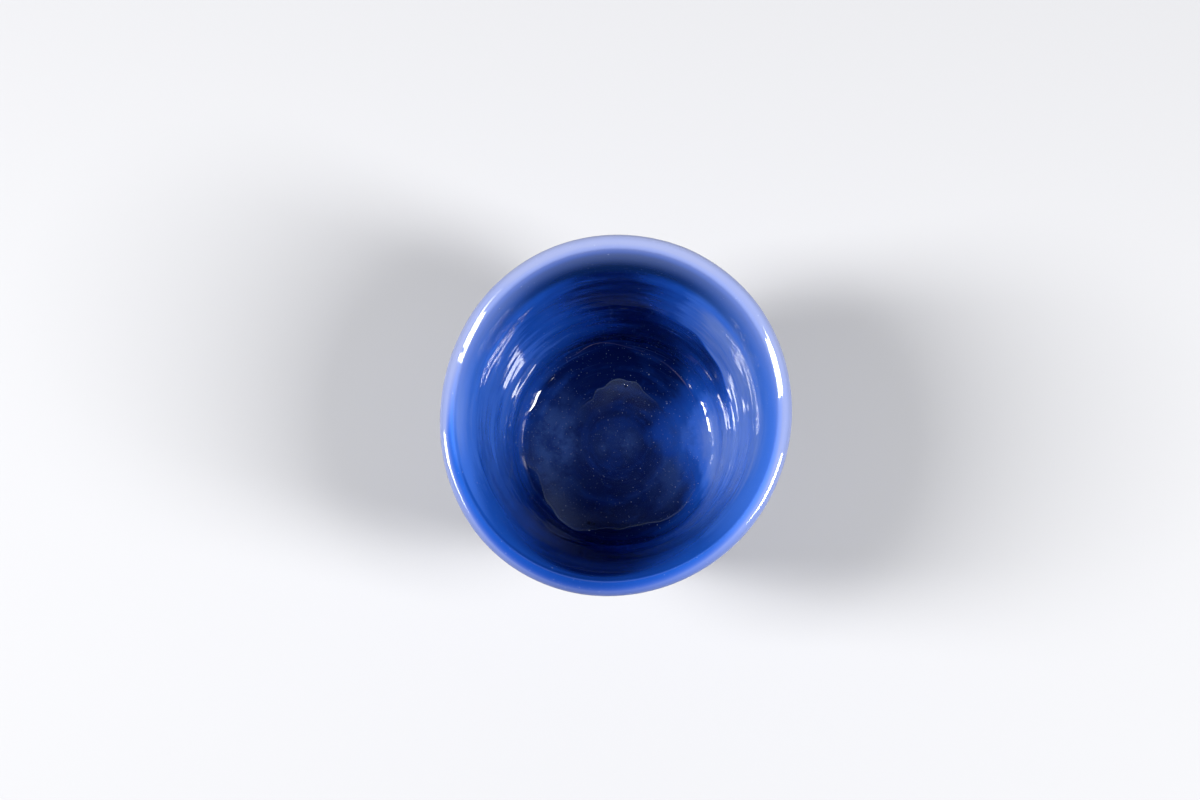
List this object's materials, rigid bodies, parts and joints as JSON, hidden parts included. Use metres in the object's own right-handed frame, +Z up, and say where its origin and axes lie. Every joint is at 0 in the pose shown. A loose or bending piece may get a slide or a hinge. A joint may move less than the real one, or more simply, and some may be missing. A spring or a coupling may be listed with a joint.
{
  "type": "handleless cup",
  "caption": "Wheel-thrown clay cup without a handle, with a flared lip, a turned foot ring and a glossy blue glaze, for drinking from.",
  "frame": {"origin": "middle of the foot ring's underside, on the surface that the cup stands on", "axes": "+Z up along the cup's axis; +Y towards the top of the picture, close to the rim's long way; +X to its right"},
  "size_m": [0.0834, 0.0861, 0.084],
  "materials": {
    "clay": "matte",
    "blue_glaze": "gloss",
    "lip_glaze": "gloss",
    "clear_glaze": "gloss"
  },
  "bodies": {
    "root": {"clay_body": "clay", "liner_glaze": "blue_glaze", "outer_glaze": "blue_glaze", "lip_glaze": "lip_glaze", "base_glaze": "blue_glaze", "glaze_pool": "clear_glaze"}
  },
  "joints": []
}
